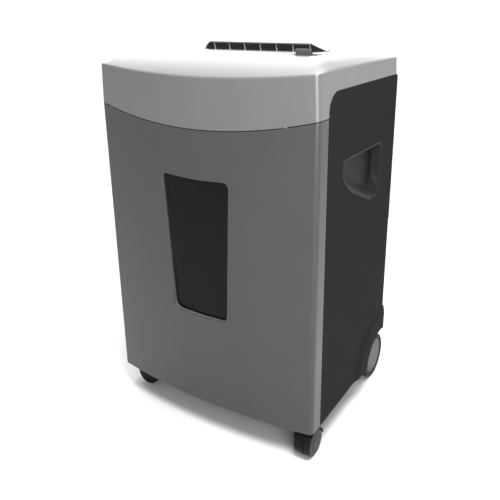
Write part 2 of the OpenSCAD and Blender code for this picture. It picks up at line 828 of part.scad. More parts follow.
module cutter_shaft(at, x0, x1) {
  core = disc_count * disc_pitch / 2;
  color([0.7, 0.7, 0.72]) union() {
    rod_x(x0, x1, at, journal_r);
    rod_x(-core - 0.5, core + 0.5, at, core_r);
  }
}

module front_cutter_shaft() cutter_shaft(front_axis, -plate_x - plate_t - 14, plate_x + plate_t + 1);
module rear_cutter_shaft() cutter_shaft(rear_axis, -plate_x - plate_t - 14, layer_one + layer_one_w + 1);

module cutter_discs(at, first) {
  hooks = 5;
  color([0.5, 0.51, 0.53]) for (k = [0 : disc_count - 1]) {
    x = (k - disc_count / 2) * disc_pitch + first;
    collar_x = first > disc_pitch / 3 ? x - disc_pitch + disc_w + 0.05 : x;
    difference() {
      union() {
        along_x(x, x + disc_w) translate(at) rotate(k * 29) difference() {
          circle(r = disc_r);
          for (h = [0 : hooks - 1]) rotate(h * 360 / hooks)
            polygon([[disc_r + 2, 0], [disc_r - 3.5, 0], [disc_r + 2, 9]]);
        }
        rod_x(collar_x, collar_x + disc_pitch - 0.05, at, collar_r);
      }
      rod_x(-200, 200, at, core_r + 0.02);
    }
  }
}

module front_cutter_discs() cutter_discs(front_axis, disc_gap);
module rear_cutter_discs() cutter_discs(rear_axis, disc_pitch / 2 + disc_gap);

module front_sync_gear() {
  color([0.45, 0.45, 0.47]) difference() {
    gear(sync_module, sync_teeth, front_axis, sync_x, sync_w, 0);
    rod_x(-200, 200, front_axis, journal_r + 0.02);
  }
}

module rear_sync_gear() {
  color([0.45, 0.45, 0.47]) difference() {
    gear(sync_module, sync_teeth, rear_axis, sync_x, sync_w, 180 / sync_teeth);
    rod_x(-200, 200, rear_axis, journal_r + 0.02);
  }
}

module drive_gear() {
  color([0.45, 0.45, 0.47]) difference() {
    gear(drive_module, drive_teeth, rear_axis, layer_one, layer_one_w, 0);
    rod_x(-200, 200, rear_axis, journal_r + 0.02);
    for (a = [0 : 72 : 288]) rod_x(-200, 200, rear_axis + 20 * dir(a), 5);
  }
}

module second_idler_gear() {
  color([0.86, 0.85, 0.8]) difference() {
    union() {
      gear(drive_module, second_pinion_teeth, second_axis, layer_one, layer_one_w + 2, second_phase);
      gear(second_module, second_teeth, second_axis, layer_two, layer_two_w, 0);
    }
    rod_x(0, 200, second_axis, idler_pin_r + run_gap);
  }
}

module first_idler_gear() {
  color([0.86, 0.85, 0.8]) difference() {
    union() {
      gear(second_module, first_pinion_teeth, first_axis, layer_two, layer_two_w + 2, first_phase);
      gear(first_module, first_teeth, first_axis, layer_three, layer_three_w, 0);
    }
    rod_x(0, 200, first_axis, idler_pin_r + run_gap);
  }
}

module idler_pins() {
  color([0.7, 0.7, 0.72]) for (at = [second_axis, first_axis])
    rod_x(plate_x, cover_x + 2.5, at, idler_pin_r);
}

module gear_cover() {
  post_r = 4;
  color([0.2, 0.2, 0.21]) difference() {
    union() {
      along_x(cover_x, cover_x + 2.5) polygon(rounded([[-24, 486, 8], [134, 470, 8],
        [134, 556, 8], [100, 583, 8], [-24, 583, 8]]));
      for (at = [[-16, 494], [-16, 575], [126, 478], [126, 550]])
        rod_x(plate_x + plate_t + 0.02, cover_x + 0.5, at, post_r);
    }
    for (at = [second_axis, first_axis]) rod_x(100, 200, at, idler_pin_r + 0.02);
    rod_x(100, 200, motor_axis, motor_shaft_r + run_gap);
  }
}

module motor_housing() {
  inner = motor_r - 2.5;
  x1 = plate_x - 0.3;
  x0 = x1 - motor_len;
  color([0.5, 0.5, 0.52]) difference() {
    rod_x(x0, x1, motor_axis, motor_r);
    rod_x(x0 + 4, x1 - 4, motor_axis, inner);
    rod_x(x0 - 1, x1 + 1, motor_axis, motor_shaft_r + run_gap);
    for (a = [0 : 60 : 300]) rod_x(x0 - 1, x0 + 5, motor_axis + 20 * dir(a), 5);
  }
}

module motor_rotor() {
  x1 = plate_x - 0.3;
  x0 = x1 - motor_len;
  color([0.62, 0.55, 0.45]) union() {
    rod_x(x0 - 14, cover_x + 2, motor_axis, motor_shaft_r);
    rod_x(x0 + 30, x1 - 30, motor_axis, 24);
    gear(first_module, motor_teeth, motor_axis, layer_three - 0.5, layer_three_w + 1, motor_phase);
  }
}

module motor_fan() {
  x0 = plate_x - 0.3 - motor_len - 11;
  blades = 9;
  color([0.12, 0.12, 0.13]) difference() {
    union() {
      rod_x(x0, x0 + 8, motor_axis, 8);
      rod_x(x0 + 6.5, x0 + 8, motor_axis, 29);
      for (a = [0 : 360 / blades : 359]) translate([x0, motor_axis.x, motor_axis.y]) rotate([a, 0, 0])
        slab([0, 6, -0.8], [7.5, 28.5, 0.8]);
    }
    rod_x(x0 - 10, x0 + 20, motor_axis, motor_shaft_r + 0.02);
  }
}

module circuit_board() {
  board_z = deck_z + deck_t + 10;
  color([0.14, 0.32, 0.2]) union() {
    slab([-166, 68, board_z], [-58, 134, board_z + 1.6]);
    for (x = [-160, -64], y = [74, 128])
      translate([x, y, deck_z + deck_t + 0.02]) cylinder(h = 11, r = 3);
    slab([-158, 82, board_z + 1], [-120, 116, board_z + 30]);
    slab([-110, 104, board_z + 1], [-90, 126, board_z + 16]);
    translate([-76, 92, board_z + 1]) cylinder(h = 28, r = 9);
    translate([-100, 84, board_z + 1]) cylinder(h = 22, r = 7);
  }
}

module paper_sensors() {
  color([0.08, 0.08, 0.09]) {
    slab([-7, throat_front - 7.5, 564], [7, throat_front + 0.8, 574]);
    slab([-7, throat_back - 3.2, 564], [7, throat_back + 5, 574]);
  }
}

module door_switch_body() {
  z = deck_z + deck_t + 0.02;
  color([0.1, 0.1, 0.11]) difference() {
    slab([plunger_x - 10, -104.5, z], [plunger_x + 10, -84, plunger_z + 8]);
    rod_y(-120, -87, plunger_x, plunger_z, 3.1);
  }
}

module door_switch_plunger() {
  color([0.75, 0.2, 0.15]) rod_y(-118, -94, plunger_x, plunger_z, 3.03);
}

// ---- Running gear ----

module caster_sockets() {
  color([0.12, 0.12, 0.13]) both_sides() translate([caster_x, caster_y, 0]) difference() {
    union() {
      translate([0, 0, ground_gap + 0.02]) cylinder(h = 31, r = socket_r);
      translate([0, 0, ground_gap + tray_t + 0.02]) cylinder(h = 3, r = socket_flange_r);
    }
    translate([0, 0, 40]) cylinder(h = 36, r = stem_r + run_gap);
  }
}

// The arched cover over both wheels, the boss that holds the stem and the web with the axle
module caster_hood() {
  arch_in = caster_r + 0.5;
  arch_out = caster_r + 1.5;
  half = caster_wheel_w + caster_web / 2 + 0.6;
  axle = [caster_axle_y, caster_r];
  top = ground_gap - 0.4;
  boss_low = 36;
  nose = [caster_axle_y - caster_r, caster_r + 3];
  color([0.11, 0.11, 0.12]) difference() {
    union() {
      difference() {
        union() {
          along_x(-half, half) intersection() {
            translate(axle) circle(r = arch_out);
            translate(axle) polygon([[0, 0], 60 * dir(10), 60 * dir(30), 60 * dir(60), 60 * dir(90),
              60 * dir(120), 60 * dir(149)]);
          }
          translate([0, caster_y, boss_low]) cylinder(h = top - boss_low, r = 8);
        }
        rod_x(-60, 60, axle, arch_in);
        translate([0, caster_y, 20]) cylinder(h = 60, r = stem_r + 0.02);
      }
      along_x(-caster_web / 2, caster_web / 2) intersection() {
        translate(axle) circle(r = arch_in + 0.2);
        union() {
          translate(axle) circle(r = 9);
          translate(axle) polygon([[0, -8], 60 * dir(14), 60 * dir(35), 60 * dir(60), 60 * dir(90),
            60 * dir(120), 60 * dir(150), 60 * dir(180), 60 * dir(215)]);
        }
      }
    }
    rod_x(-60, 60, axle, 3.02);
    rod_y(nose.x - 3, nose.x + 2.5, 0, nose.y, 1.3);
  }
}

module caster_pins() {
  // The stem starts just above the web between the wheels
  pin_low = caster_r + sqrt(pow(caster_r + 1, 2) - pow(caster_trail - stem_r, 2));
  color([0.6, 0.6, 0.62]) {
    translate([0, caster_y, pin_low]) cylinder(h = 74 - pin_low, r = stem_r);
    rod_x(-caster_wheel_w - 0.6, caster_wheel_w + 0.6, [caster_axle_y, caster_r], 3);
  }
}

// A caster wheel from its inner face to its domed outer face
module caster_wheel() {
  inner = caster_web / 2 + 0.3;
  w = caster_wheel_w;
  color([0.1, 0.1, 0.11]) translate([inner, caster_axle_y, caster_r]) rotate([0, 90, 0])
    rotate_extrude() polygon([[3.05, 0], [caster_r - 1, 0], [caster_r, 1], [caster_r, w - 3],
      [caster_r - 0.8, w - 1.4], [caster_r - 2.6, w - 0.4], [15, w], [0, w], [0, w - 1.5],
      [3.05, w - 1.5]]);
}

// The left caster stands turned by a quarter, its wheels rolling sideways
module left_caster() {
  translate([-caster_x, caster_y, 0]) rotate(caster_turn) translate([0, -caster_y, 0]) children();
}

module caster_hood_left() left_caster() caster_hood();
module caster_hood_right() translate([caster_x, 0, 0]) caster_hood();
module caster_pins_left() left_caster() caster_pins();
module caster_pins_right() translate([caster_x, 0, 0]) caster_pins();
module caster_wheel_left_inner() left_caster() caster_wheel();
module caster_wheel_left_outer() left_caster() mirror([1, 0, 0]) caster_wheel();
module caster_wheel_right_outer() translate([caster_x, 0, 0]) caster_wheel();
module caster_wheel_right_inner() translate([caster_x, 0, 0]) mirror([1, 0, 0]) caster_wheel();

module axle_brackets() {
  color([0.5, 0.5, 0.52]) difference() {
    both_sides() along_x(146, 151) polygon(rounded([[axle_y - 22, ground_gap - 0.02, 0],
      [axle_y - 9, axle_z - 10, 6], [axle_y + 9, axle_z - 10, 6], [axle_y + 19, ground_gap - 0.02, 0]]));
    rod_x(-200, 200, [axle_y, axle_z], axle_r + 0.02);
  }
}

module rear_axle() {
  color([0.6, 0.6, 0.62]) rod_x(-180.5, 180.5, [axle_y, axle_z], axle_r);
}

module rear_tyre() {
  w = tyre_w;
  color([0.1, 0.1, 0.1]) translate([tyre_face - w, axle_y, axle_z]) rotate([0, 90, 0])
    rotate_extrude() polygon(rounded([[hub_r, 0, 0], [tyre_r, 0, 3], [tyre_r, w, 3], [hub_r, w, 1]]));
}

module rear_hub() {
  w = tyre_w;
  color([0.6, 0.6, 0.61]) translate([tyre_face - w, axle_y, axle_z]) rotate([0, 90, 0])
    rotate_extrude() polygon([[axle_r + run_gap, 0], [11, 0], [11, w - 6], [hub_r - 3, w - 6],
      [hub_r - 3, 1], [hub_r - 0.02, 1], [hub_r - 0.02, w - 0.8], [hub_r - 1, w + 0.2],
      [0, w + 0.2], [0, w - 3.5], [axle_r + run_gap, w - 3.5]]);
}

module rear_tyre_right() rear_tyre();
module rear_tyre_left() mirror([1, 0, 0]) rear_tyre();
module rear_hub_right() rear_hub();
module rear_hub_left() mirror([1, 0, 0]) rear_hub();

top_cover();
throat_liner();
throat_hood();
guide_ribs();
switch_bezel();
switch_knob();
indicator_lens();
head_deck();
front_rail();
side_panel_left();
side_panel_right();
handle_cup_left();
handle_cup_right();
rear_panel_lower();
rear_panel_upper();
rear_screws();
cord_grommet();
base_tray();
bin_rails();
drawer_front();
window_pane();
window_frame();
waste_bin();
cutter_side_plates();
tie_rods();
cutter_bushes();
stripper_combs();
front_cutter_shaft();
front_cutter_discs();
front_sync_gear();
rear_cutter_shaft();
rear_cutter_discs();
rear_sync_gear();
drive_gear();
second_idler_gear();
first_idler_gear();
idler_pins();
gear_cover();
motor_housing();
motor_rotor();
motor_fan();
circuit_board();
paper_sensors();
door_switch_body();
door_switch_plunger();
caster_sockets();
caster_hood_left();
caster_hood_right();
caster_pins_left();
caster_pins_right();
caster_wheel_left_outer();
caster_wheel_left_inner();
caster_wheel_right_inner();
caster_wheel_right_outer();
axle_brackets();
rear_axle();
rear_tyre_left();
rear_hub_left();
rear_tyre_right();
rear_hub_right();
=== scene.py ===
import bpy
import bmesh
import json
import math
from mathutils import Matrix, Vector


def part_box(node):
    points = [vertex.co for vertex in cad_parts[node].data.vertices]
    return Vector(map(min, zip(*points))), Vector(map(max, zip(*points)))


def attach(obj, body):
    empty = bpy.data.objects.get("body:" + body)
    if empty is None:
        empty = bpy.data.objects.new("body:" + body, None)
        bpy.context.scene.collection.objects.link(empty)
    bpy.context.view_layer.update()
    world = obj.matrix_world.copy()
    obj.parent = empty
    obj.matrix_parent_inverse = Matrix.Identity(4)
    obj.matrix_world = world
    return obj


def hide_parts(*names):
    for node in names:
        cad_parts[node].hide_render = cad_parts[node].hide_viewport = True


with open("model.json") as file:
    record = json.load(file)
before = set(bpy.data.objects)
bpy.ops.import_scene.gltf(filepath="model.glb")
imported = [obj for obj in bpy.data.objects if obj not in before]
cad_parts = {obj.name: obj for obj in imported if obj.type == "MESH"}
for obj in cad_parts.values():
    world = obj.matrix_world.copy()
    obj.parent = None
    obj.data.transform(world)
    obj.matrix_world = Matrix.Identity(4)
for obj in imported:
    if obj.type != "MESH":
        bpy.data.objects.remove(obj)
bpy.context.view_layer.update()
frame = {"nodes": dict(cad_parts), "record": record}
scene = bpy.context.scene
MM = 0.001


# ---------------------------------------------------------------- camera

CAMERA_AT = (0.5107, -0.8043, 0.6588)
CAMERA_AZ = 32.81
CAMERA_EL = 18.52
CAMERA_ROLL = -0.79
CAMERA_LENS = 42.48
CAMERA_SHIFT = -0.09


def make_camera():
    """Camera fitted to the photograph, with a small shift so that the views from other sides fit too."""
    az, el, roll = math.radians(CAMERA_AZ), math.radians(CAMERA_EL), math.radians(CAMERA_ROLL)
    back = Vector((math.sin(az) * math.cos(el), -math.cos(az) * math.cos(el), math.sin(el)))
    right = Vector((math.cos(az), math.sin(az), 0.0))
    up = back.cross(right)
    rolled_right = right * math.cos(roll) + up * math.sin(roll)
    rolled_up = up * math.cos(roll) - right * math.sin(roll)
    data = bpy.data.cameras.new("camera")
    data.lens = CAMERA_LENS
    data.sensor_width = 36.0
    data.shift_y = CAMERA_SHIFT
    data.clip_start = 0.05
    data.clip_end = 30.0
    cam = bpy.data.objects.new("camera", data)
    scene.collection.objects.link(cam)
    pose = Matrix((rolled_right, rolled_up, back)).transposed().to_4x4()
    pose.translation = Vector(CAMERA_AT)
    cam.matrix_world = pose
    scene.camera = cam


make_camera()


# ---------------------------------------------------------------- materials

DUST_HEIGHT = 0.02
DUST_COLOR = (0.32, 0.31, 0.29, 1.0)


def new_material(name):
    m = bpy.data.materials.new(name)
    m.use_nodes = True
    return m, m.node_tree, m.node_tree.nodes["Principled BSDF"]


def noise(nt, coord, scale, detail=2.0, rough=0.5, stretch=None):
    """Noise factor; stretch scales the coordinates, which draws the grain out along an axis."""
    n = nt.nodes.new("ShaderNodeTexNoise")
    n.inputs["Scale"].default_value = scale
    n.inputs["Detail"].default_value = detail
    n.inputs["Roughness"].default_value = rough
    if stretch:
        mp = nt.nodes.new("ShaderNodeMapping")
        mp.inputs["Scale"].default_value = stretch
        nt.links.new(coord, mp.inputs["Vector"])
        nt.links.new(mp.outputs["Vector"], n.inputs["Vector"])
    else:
        nt.links.new(coord, n.inputs["Vector"])
    return n.outputs["Fac"]


def remap(nt, value, lo, hi, out_lo, out_hi):
    n = nt.nodes.new("ShaderNodeMapRange")
    for key, v in (("From Min", lo), ("From Max", hi), ("To Min", out_lo), ("To Max", out_hi)):
        n.inputs[key].default_value = v
    nt.links.new(value, n.inputs["Value"])
    return n.outputs["Result"]


def tint(nt, fac, dark, light):
    n = nt.nodes.new("ShaderNodeMix")
    n.data_type = "RGBA"
    n.inputs["A"].default_value = (*dark, 1.0)
    n.inputs["B"].default_value = (*light, 1.0)
    nt.links.new(fac, n.inputs["Factor"])
    return n.outputs["Result"]


def plastic(name, color, rough=0.45, metallic=0.0, grain=1500.0, bump=0.15, depth=0.02, vary=0.06,
            rough_vary=0.06, stretch=None, coat=0.0, specular=0.5, dust=0.0, coat_rough=0.15):
    """Moulded or painted surface: fine grain in bump and roughness, slow variation in colour.

    depth is the grain's height in mm. dust is the share of dust at the floor, fading out upwards.
    """
    m, nt, bsdf = new_material(name)
    coord = nt.nodes.new("ShaderNodeTexCoord").outputs["Object"]
    slow = noise(nt, coord, 18.0, 3.0)
    fine = noise(nt, coord, grain, 2.0, 0.6, stretch)
    dark = [c * (1 - vary) for c in color]
    light = [min(1.0, c * (1 + vary)) for c in color]
    mix = nt.nodes.new("ShaderNodeMath")
    mix.operation = "MULTIPLY_ADD"
    nt.links.new(fine, mix.inputs[0])
    mix.inputs[1].default_value = 0.5
    nt.links.new(remap(nt, slow, 0.3, 0.7, 0.0, 0.5), mix.inputs[2])
    shade = tint(nt, mix.outputs[0], dark, light)
    if dust:
        sep = nt.nodes.new("ShaderNodeSeparateXYZ")
        nt.links.new(coord, sep.inputs[0])
        low = remap(nt, sep.outputs["Z"], 0.0, DUST_HEIGHT, dust, 0.0)
        speck = nt.nodes.new("ShaderNodeMath")
        speck.operation = "MULTIPLY"
        nt.links.new(low, speck.inputs[0])
        nt.links.new(noise(nt, coord, 260.0, 4.0, 0.7), speck.inputs[1])
        over = nt.nodes.new("ShaderNodeMix")
        over.data_type = "RGBA"
        over.inputs["B"].default_value = DUST_COLOR
        nt.links.new(speck.outputs[0], over.inputs["Factor"])
        nt.links.new(shade, over.inputs["A"])
        shade = over.outputs["Result"]
    nt.links.new(shade, bsdf.inputs["Base Color"])
    nt.links.new(remap(nt, fine, 0.3, 0.7, rough - rough_vary, rough + rough_vary), bsdf.inputs["Roughness"])
    b = nt.nodes.new("ShaderNodeBump")
    b.inputs["Strength"].default_value = bump
    b.inputs["Distance"].default_value = depth * MM
    nt.links.new(fine, b.inputs["Height"])
    nt.links.new(b.outputs["Normal"], bsdf.inputs["Normal"])
    bsdf.inputs["Metallic"].default_value = metallic
    bsdf.inputs["Specular IOR Level"].default_value = specular
    bsdf.inputs["Coat Weight"].default_value = coat
    bsdf.inputs["Coat Roughness"].default_value = coat_rough
    return m


def metal(name, color, rough, stretch=(1.0, 1.0, 1.0), grain=900.0, vary=0.1):
    return plastic(name, color, rough, metallic=1.0, grain=grain, bump=0.1, depth=0.01, vary=vary,
                   rough_vary=0.08, stretch=stretch)


def glass(name):
    """Smoked pane that can be seen through in part."""
    m, nt, bsdf = new_material(name)
    coord = nt.nodes.new("ShaderNodeTexCoord").outputs["Object"]
    slow = noise(nt, coord, 14.0, 2.0)
    nt.links.new(tint(nt, slow, (0.004, 0.004, 0.0043), (0.007, 0.007, 0.0073)), bsdf.inputs["Base Color"])
    nt.links.new(remap(nt, slow, 0.3, 0.7, 0.05, 0.11), bsdf.inputs["Roughness"])
    bsdf.inputs["Alpha"].default_value = 0.62
    bsdf.inputs["Specular IOR Level"].default_value = 0.12
    bsdf.inputs["IOR"].default_value = 1.49
    return m


LOOKS = {
    "silver_shell": (plastic, dict(
        color=(0.1, 0.1, 0.102), rough=0.36, metallic=0.15, grain=2600.0, bump=0.1, depth=0.012,
        vary=0.05, rough_vary=0.05, coat=0.6, specular=0.15, coat_rough=0.26)),
    "silver_front": (plastic, dict(
        color=(0.04, 0.04, 0.041), rough=0.42, metallic=0.1, grain=2600.0, bump=0.12, depth=0.012,
        vary=0.06, rough_vary=0.05, coat=0.45, specular=0.1, coat_rough=0.26)),
    "charcoal_shell": (plastic, dict(
        color=(0.0095, 0.0095, 0.01), rough=0.66, grain=1100.0, bump=0.35, depth=0.05, vary=0.14,
        rough_vary=0.07, specular=0.03)),
    "rib_grey": (plastic, dict(color=(0.5, 0.5, 0.5))),
    "black_plastic": (plastic, dict(
        color=(0.008, 0.008, 0.0084), rough=0.42, grain=1300.0, depth=0.03, specular=0.08)),
    "caster_plastic": (plastic, dict(
        color=(0.006, 0.006, 0.0063), rough=0.3, grain=900.0, bump=0.12, depth=0.03, vary=0.1,
        specular=0.09)),
    "knob_grey": (plastic, dict(color=(0.05, 0.05, 0.052), rough=0.5, specular=0.2)),
    "lens": (plastic, dict(color=(0.2, 0.205, 0.215), rough=0.25, coat=0.3)),
    "smoked_glass": (glass, {}),
    "bin_plastic": (plastic, dict(
        color=(0.045, 0.045, 0.047), rough=0.5, grain=900.0, bump=0.25, depth=0.04)),
    "zinc_steel": (metal, dict(color=(0.55, 0.56, 0.58), rough=0.38, grain=160.0, vary=0.12)),
    "machined_steel": (metal, dict(color=(0.6, 0.6, 0.62), rough=0.24, stretch=(12, 1, 1), grain=500.0)),
    "hard_steel": (metal, dict(color=(0.3, 0.3, 0.32), rough=0.34, stretch=(8, 1, 1), grain=600.0)),
    "gear_nylon": (plastic, dict(color=(0.72, 0.7, 0.62), rough=0.4)),
    "bush_bronze": (metal, dict(color=(0.62, 0.43, 0.2), rough=0.35)),
    "rotor_steel": (metal, dict(color=(0.42, 0.38, 0.33), rough=0.4, stretch=(30, 1, 1))),
    "board_green": (plastic, dict(color=(0.04, 0.16, 0.08), rough=0.35, grain=400.0, depth=0.05, vary=0.2)),
    "plunger_red": (plastic, dict(color=(0.5, 0.07, 0.05), rough=0.35)),
    "tyre_rubber": (plastic, dict(
        color=(0.016, 0.016, 0.016), rough=0.62, grain=700.0, bump=0.4, depth=0.08, vary=0.15,
        rough_vary=0.08, specular=0.1, dust=0.05)),
    "hub_grey": (plastic, dict(color=(0.046, 0.046, 0.0475), metallic=0.1, specular=0.2)),
}

MATS = {name: make(name, **look) for name, (make, look) in LOOKS.items()}

slots = {s["node"]: s["material_slot"] for s in frame["record"]["subparts"]}


# ---------------------------------------------------------------- edges and shading

SHARP_ANGLE = math.radians(32)
BEVEL_ANGLE = math.radians(38)
WELD_GAP = 0.002 * MM


def soft_shade_group():
    """Geometry nodes that drop the stored normals and shade smooth, except across sharper edges."""
    g = bpy.data.node_groups.new("soft_shade", "GeometryNodeTree")
    g.interface.new_socket("Geometry", in_out="INPUT", socket_type="NodeSocketGeometry")
    g.interface.new_socket("Geometry", in_out="OUTPUT", socket_type="NodeSocketGeometry")
    n = g.nodes
    i, o = n.new("NodeGroupInput"), n.new("NodeGroupOutput")
    drop = n.new("GeometryNodeRemoveAttribute")
    drop.inputs["Name"].default_value = "custom_normal"
    face = n.new("GeometryNodeSetShadeSmooth")
    edge = n.new("GeometryNodeSetShadeSmooth")
    edge.domain = "EDGE"
    ang = n.new("GeometryNodeInputMeshEdgeAngle")
    cmp = n.new("FunctionNodeCompare")
    cmp.data_type = "FLOAT"
    cmp.operation = "LESS_THAN"
    cmp.inputs["B"].default_value = SHARP_ANGLE
    g.links.new(i.outputs[0], drop.inputs["Geometry"])
    g.links.new(drop.outputs[0], face.inputs["Geometry"])
    g.links.new(face.outputs[0], edge.inputs["Geometry"])
    g.links.new(ang.outputs["Unsigned Angle"], cmp.inputs["A"])
    g.links.new(cmp.outputs["Result"], edge.inputs["Shade Smooth"])
    g.links.new(edge.outputs[0], o.inputs[0])
    return g


SOFT = soft_shade_group()


def refine(o, bevel=0.0, segments=2):
    """Adds the modifiers that weld, bevel and shade a piece; bevel is in mm."""
    w = o.modifiers.new("weld", "WELD")
    w.merge_threshold = WELD_GAP
    if bevel:
        b = o.modifiers.new("bevel", "BEVEL")
        b.width = bevel * MM
        b.segments = segments
        b.limit_method = "ANGLE"
        b.angle_limit = BEVEL_ANGLE
        b.use_clamp_overlap = True
        b.miter_outer = "MITER_ARC"
    s = o.modifiers.new("soft", "NODES")
    s.node_group = SOFT
    n = o.modifiers.new("flats", "WEIGHTED_NORMAL")
    n.keep_sharp = True


# ---------------------------------------------------------------- mesh helpers

def direction(deg):
    return Vector((math.cos(math.radians(deg)), math.sin(math.radians(deg))))


def loft(rings):
    """Closed mesh through rings of equal length, the first and last ring capped."""
    bm = bmesh.new()
    rows = [[bm.verts.new(p) for p in ring] for ring in rings]
    n = len(rows[0])
    for lower, upper in zip(rows, rows[1:]):
        for k in range(n):
            bm.faces.new((lower[k], lower[(k + 1) % n], upper[(k + 1) % n], upper[k]))
    bm.faces.new(list(reversed(rows[0])))
    bm.faces.new(rows[-1])
    bmesh.ops.recalc_face_normals(bm, faces=bm.faces)
    return bm


def prism(points, place, lo, hi):
    """Closed prism of a flat outline: place(u, v, t) gives the position at depth t."""
    return loft([[place(u, v, lo) for u, v in points], [place(u, v, hi) for u, v in points]])


def upright(u, v, t):
    """Places an outline drawn in plan at height t."""
    return Vector((u, v, t))


def across(u, v, t):
    """Places an outline drawn in the front view at depth t."""
    return Vector((u, t, v))


ON_AXIS = 1e-6


def lathe(profile, centre, axis, steps=96):
    """Closed solid of revolution; profile lists (radius, distance along the axis)."""
    turn = Vector((0, 0, 1)).rotation_difference(Vector(axis)).to_matrix()
    centre = Vector(centre)
    bm = bmesh.new()
    rows = []
    for r, t in profile:
        count = steps if r > ON_AXIS else 1
        rows.append([bm.verts.new(centre + turn @ Vector((r * math.cos(2 * math.pi * k / steps),
                                                          r * math.sin(2 * math.pi * k / steps), t)))
                     for k in range(count)])
    for row, other in zip(rows, rows[1:] + rows[:1]):
        for k in range(steps):
            j = (k + 1) % steps
            quad = [row[k % len(row)], row[j % len(row)], other[j % len(other)], other[k % len(other)]]
            corners = [v for i, v in enumerate(quad) if v not in quad[:i]]
            if len(corners) > 2:
                bm.faces.new(corners)
    bmesh.ops.recalc_face_normals(bm, faces=bm.faces)
    return bm


def as_object(name, bm):
    me = bpy.data.meshes.new(name)
    bm.to_mesh(me)
    bm.free()
    o = bpy.data.objects.new(name, me)
    scene.collection.objects.link(o)
    return o


def add_to(bm, other):
    """Adds another mesh to bm."""
    me = bpy.data.meshes.new("part")
    other.to_mesh(me)
    other.free()
    bm.from_mesh(me)
    bpy.data.meshes.remove(me)


def carve(o, cutters):
    """Subtracts the cutters from o, after any modifier it has, and keeps the result as a plain mesh."""
    for k, cutter in enumerate(cutters):
        m = o.modifiers.new("cut", "BOOLEAN")
        m.operation = "DIFFERENCE"
        m.solver = "EXACT"
        m.object = as_object(o.name + "_cut%d" % k, cutter)
    bpy.context.view_layer.update()
    graph = bpy.context.evaluated_depsgraph_get()
    me = bpy.data.meshes.new_from_object(o.evaluated_get(graph))
    tools = [m.object for m in o.modifiers]
    o.modifiers.clear()
    o.data = me
    for t in tools:
        bpy.data.objects.remove(t)


def piece(o, slot_name, body, stands_for, bevel=0.0, segments=2):
    """Gives o its material, lets it ride a body and has it stand for CAD nodes."""
    o.data.materials.clear()
    o.data.materials.append(MATS[slot_name])
    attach(o, body)
    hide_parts(*stands_for)
    refine(o, bevel, segments)


def rounded(points, steps=6):
    """Flat outline through (u, v, radius) corners; a corner with radius 0 stays sharp."""
    out = []
    for k, (px, py, r) in enumerate(points):
        p = Vector((px, py))
        if not r:
            out.append(p)
            continue
        a = Vector(points[k - 1][:2])
        b = Vector(points[(k + 1) % len(points)][:2])
        u, v = (a - p).normalized(), (b - p).normalized()
        half = u.angle(v) / 2
        c = p + (u + v).normalized() * r / math.sin(half)
        start, end = p + u * r / math.tan(half) - c, p + v * r / math.tan(half) - c
        a1 = math.atan2(start.y, start.x)
        turn = (math.atan2(end.y, end.x) - a1 + math.pi) % (2 * math.pi) - math.pi
        out += [c + Vector((math.cos(a1 + turn * i / steps), math.sin(a1 + turn * i / steps))) * r
                for i in range(steps + 1)]
    return out


# ---------------------------------------------------------------- finish of the CAD nodes

# Bevel widths in mm; nodes that aren't listed get none.
EDGE = {
    "side_panel_left": 0.6, "side_panel_right": 0.6, "throat_hood": 0.5,
    "switch_bezel": 0.3, "switch_knob": 0.8, "indicator_lens": 0.4, "window_frame": 0.3,
    "waste_bin": 0.8, "rear_panel_lower": 0.4, "rear_panel_upper": 0.4, "cord_grommet": 0.5,
    "cutter_side_plates": 0.3, "gear_cover": 0.6, "motor_housing": 1.0, "caster_hood_left": 0.5,
    "caster_hood_right": 0.5, "caster_sockets": 0.4, "axle_brackets": 0.3, "rear_axle": 0.5,
    "base_tray": 0.4, "bin_rails": 0.2, "front_rail": 0.2, "head_deck": 0.3, "motor_rotor": 0.3,
    "door_switch_body": 0.4, "door_switch_plunger": 0.4, "circuit_board": 0.3, "tie_rods": 0.4,
    "motor_fan": 0.2, "paper_sensors": 0.3, "guide_ribs": 0.15, "throat_liner": 0.2,
}

for name, o in frame["nodes"].items():
    o.data.materials.clear()
    o.data.materials.append(MATS[slots[name]])
    refine(o, EDGE.get(name, 0.0))


# ---------------------------------------------------------------- head shell

cover_lo, cover_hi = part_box("top_cover")
HALF_W = cover_hi.x
REAR_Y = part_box("side_panel_right")[1].y
BOW = 17 * MM
FRONT_Y = cover_lo.y + BOW
RIDGE_H = cover_hi.z
RIDGE_IN = 62 * MM
RIDGE_Y = FRONT_Y + RIDGE_IN
FRONT_FALL = 16 * MM
REAR_FALL = 8 * MM
PARTING_H = 522 * MM
PARTING_DIP = 24 * MM
DRAFT = math.tan(math.radians(2.4))
SHELL = 3 * MM
WRAP_Y = FRONT_Y + 27 * MM
BOW_R = (HALF_W ** 2 + BOW ** 2) / (2 * BOW)
BOW_Y0 = FRONT_Y - BOW + BOW_R
FRONT_CORNER = 8 * MM
REAR_CORNER = 9 * MM
LEAST_CORNER = 0.5 * MM
SKIRT_H = 480 * MM
SHOULDER_IN = 17.5 * MM
SHOULDER_W = 15 * MM
EDGE_H = 580.7 * MM
EDGE_R = 2.2 * MM
INNER_EDGE_R = 0.6 * MM
REAR_SOFTER = 0.6
ROLL_STEPS = 5
INSETS = [v * MM for v in (5, 7.5, 10, 12.5, 15, 18, 22, 28, 36, 44, 52, 60, 70, 82, 96, 112, 128, 138)]

# Cutters end FAR from the middle, and those through the head's top run from CUT_LOW to CUT_HIGH.
FAR = 0.3
CUT_LOW = 0.56
CUT_HIGH = 0.62


def bow_y(x, inset):
    """The bowed front's place at x, set in by inset."""
    return BOW_Y0 - math.sqrt((BOW_R - inset) ** 2 - x * x)


